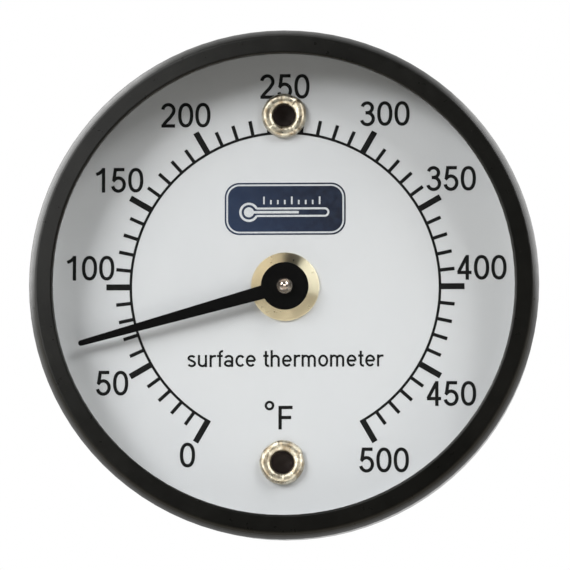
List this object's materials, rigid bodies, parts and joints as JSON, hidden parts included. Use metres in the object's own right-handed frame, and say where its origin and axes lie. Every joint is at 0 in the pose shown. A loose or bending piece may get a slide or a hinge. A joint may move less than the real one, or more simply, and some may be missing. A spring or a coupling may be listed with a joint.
{
  "type": "dial thermometer",
  "caption": "Round magnetic surface thermometer: black shell and ring, flat window, printed dial, pointer driven by a spiral bimetal coil behind the dial.",
  "frame": {"origin": "centre of the plane that touches both magnets' faces, on the pointer's axis", "axes": "the dial faces -Y, 12 o'clock on the dial is +Z, +X is to the reader's right; +Y points out of the back into the wall it is stuck to"},
  "size_m": [0.0524, 0.0108, 0.0524],
  "materials": {
    "case_black": "satin black enamel",
    "bezel_black": "satin black enamel",
    "clear_glass": "clear",
    "gasket_rubber": "matt",
    "dial_white": "printed white enamel",
    "bushing_brass": "turned",
    "nut_brass": "turned",
    "arbor_steel": "turned",
    "hub_brass": "turned",
    "pointer_black": "matt black",
    "collet_brass": "turned",
    "bimetal": "rolled strip, two tones",
    "anchor_steel": "zinc plated",
    "anchor_rivet_steel": "plain",
    "magnet_cup_steel": "nickel plated",
    "magnet_ferrite": "ground ferrite",
    "rivet_nickel": "nickel plated, clinched"
  },
  "bodies": {
    "housing": {"case": "case_black", "bezel": "bezel_black", "lens": "clear_glass", "lens_gasket": "gasket_rubber", "dial_plate": "dial_white", "bushing": "bushing_brass", "bushing_nut": "nut_brass", "bimetal_coil": "bimetal", "coil_anchor": "anchor_steel", "anchor_rivet": "anchor_rivet_steel", "magnet_cup_upper": "magnet_cup_steel", "magnet_cup_lower": "magnet_cup_steel", "magnet_upper": "magnet_ferrite", "magnet_lower": "magnet_ferrite", "rivet_upper": "rivet_nickel", "rivet_lower": "rivet_nickel"},
    "spindle": {"arbor": "arbor_steel", "pointer_hub": "hub_brass", "pointer": "pointer_black", "coil_collet": "collet_brass"}
  },
  "joints": [
    {"name": "pointer_spin", "type": "hinge", "parent": "housing", "child": "spindle", "pos_m": [0, 0, 0], "axis": [0, 1, 0], "range_deg": [-44.5, 255.5], "stiffness_Nm_per_rad": 0.0045, "deforming": ["bimetal_coil"]}
  ]
}
